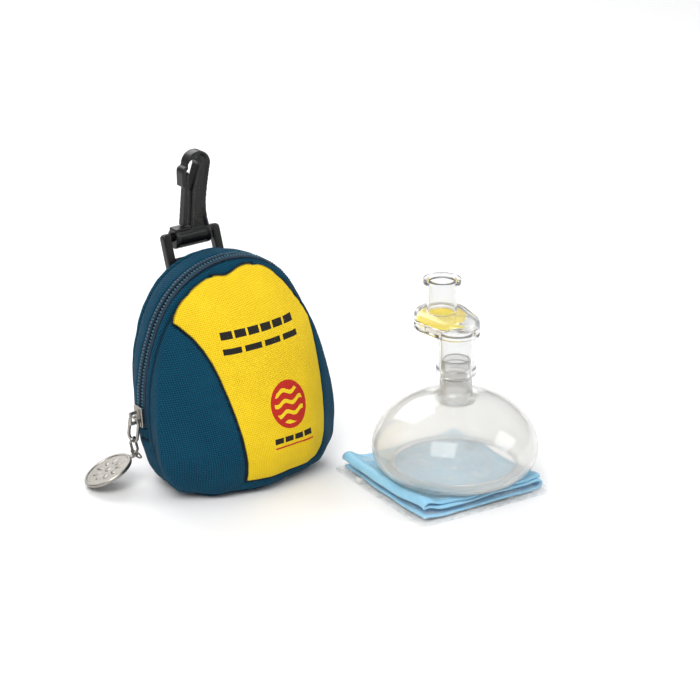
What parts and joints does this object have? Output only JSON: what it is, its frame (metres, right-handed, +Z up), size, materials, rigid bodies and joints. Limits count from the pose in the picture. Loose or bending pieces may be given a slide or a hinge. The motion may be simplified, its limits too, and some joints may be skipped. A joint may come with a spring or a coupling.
{
  "type": "pocket resuscitation mask kit",
  "caption": "Zipped carry pouch with a snap hook and a pull chain, a round clear mask with a one-way valve, and a sealed packet of folded gloves under it.",
  "frame": {"origin": "middle of the pouch's flat base, on the surface it stands on", "axes": "+X to the right as the pouch is seen from its front, -Y out of the pouch's front, +Z up"},
  "size_m": [0.2037, 0.1655, 0.168],
  "materials": {
    "blue_cloth": "woven padded cloth",
    "yellow_cloth": "woven padded cloth",
    "zip_coil": "moulded coil",
    "webbing": "woven webbing",
    "nylon": "satin moulded",
    "nickel": "satin nickel plate",
    "clear_plastic": "clear moulded",
    "frosted_rubber": "translucent soft moulding",
    "silicone": "soft moulding",
    "glove_rubber": "thin dipped film",
    "film": "clear sealed film"
  },
  "bodies": {
    "pouch": {"back_panel": "blue_cloth", "back_side_band": "blue_cloth", "base_panel": "blue_cloth", "foot_band": "blue_cloth", "centre_panel_foot": "yellow_cloth", "zip_half_back": "zip_coil", "webbing_tab": "webbing"},
    "lid": {"front_side_band": "blue_cloth", "centre_panel": "yellow_cloth", "left_panel": "blue_cloth", "right_panel": "blue_cloth", "zip_half_front": "zip_coil"},
    "slider": {"zip_slider": "nickel"},
    "pull_ring": {"pull_ring": "nickel"},
    "pull_link": {"pull_link": "nickel"},
    "jump_ring": {"jump_ring": "nickel"},
    "medal": {"medal": "nickel"},
    "loop": {"hook_loop": "nylon"},
    "hook": {"snap_hook": "nylon"},
    "gate": {"hook_gate": "nylon"},
    "packet": {"wrapper_back": "film", "wrapper_front": "film", "glove_fold_1": "glove_rubber", "glove_fold_2": "glove_rubber", "glove_fold_3": "glove_rubber"},
    "mask": {"mask_shell": "frosted_rubber"},
    "port": {"mask_port": "clear_plastic"},
    "valve": {"valve_base": "clear_plastic", "valve_cover": "clear_plastic"},
    "flap": {"valve_flap": "silicone"}
  },
  "joints": [
    {"name": "lid_hinge", "type": "hinge", "parent": "pouch", "child": "lid", "pos_m": [0, -0.05, 0.03], "axis": [1, 0, 0], "range_deg": [0, 50]},
    {"name": "slider_travel", "type": "hinge", "parent": "pouch", "child": "slider", "pos_m": [0.048, -0.007, 0.0495], "axis": [0, 1, 0], "range_deg": [0, 24]},
    {"name": "pull_ring_swing", "type": "hinge", "parent": "slider", "child": "pull_ring", "pos_m": [-0.05654, -0.007, 0.04374], "axis": [0, 1, 0], "range_deg": [-2, 60]},
    {"name": "pull_link_swing", "type": "hinge", "parent": "pull_ring", "child": "pull_link", "pos_m": [-0.05563, -0.00277, 0.02937], "axis": [-0.2157, 0.9402, 0.2635], "range_deg": [-4, 25]},
    {"name": "jump_ring_swing", "type": "hinge", "parent": "pull_link", "child": "jump_ring", "pos_m": [-0.04928, 0.00479, 0.01788], "axis": [0.8098, 0.1722, 0.5608], "range_deg": [-3, 15]},
    {"name": "medal_swing", "type": "hinge", "parent": "jump_ring", "child": "medal", "pos_m": [-0.04813, 0.00831, 0.01514], "axis": [0.3236, 0.9446, -0.0541], "range_deg": [-5, 12]},
    {"name": "loop_tilt", "type": "hinge", "parent": "pouch", "child": "loop", "pos_m": [0, 0.0189, 0.1095], "axis": [1, 0, 0], "range_deg": [-110, 6]},
    {"name": "hook_tilt", "type": "hinge", "parent": "loop", "child": "hook", "pos_m": [0, 0.02366, 0.12341], "axis": [1, 0, 0], "range_deg": [-60, 60]},
    {"name": "gate_flex", "type": "hinge", "parent": "hook", "child": "gate", "pos_m": [-0.00415, 0.02366, 0.12861], "axis": [0, 1, 0], "range_deg": [0, 2.5], "stiffness_Nm_per_rad": 0.05, "springref_deg": -1.72},
    {"name": "packet_lift", "type": "slide", "parent": "pouch", "child": "packet", "axis": [0, 0, 1], "range_m": [0, 0.18]},
    {"name": "mask_lift", "type": "slide", "parent": "packet", "child": "mask", "axis": [0, 0, 1], "range_m": [0, 0.1]},
    {"name": "port_swivel", "type": "hinge", "parent": "mask", "child": "port", "pos_m": [0.0854, -0.0928, 0.06], "axis": [0, 0, 1], "continuous": true},
    {"name": "valve_pull_off", "type": "slide", "parent": "port", "child": "valve", "axis": [0, 0, 1], "range_m": [0, 0.04]},
    {"name": "flap_lift", "type": "slide", "parent": "valve", "child": "flap", "axis": [0, 0, 1], "range_m": [0, 0.0003]}
  ]
}
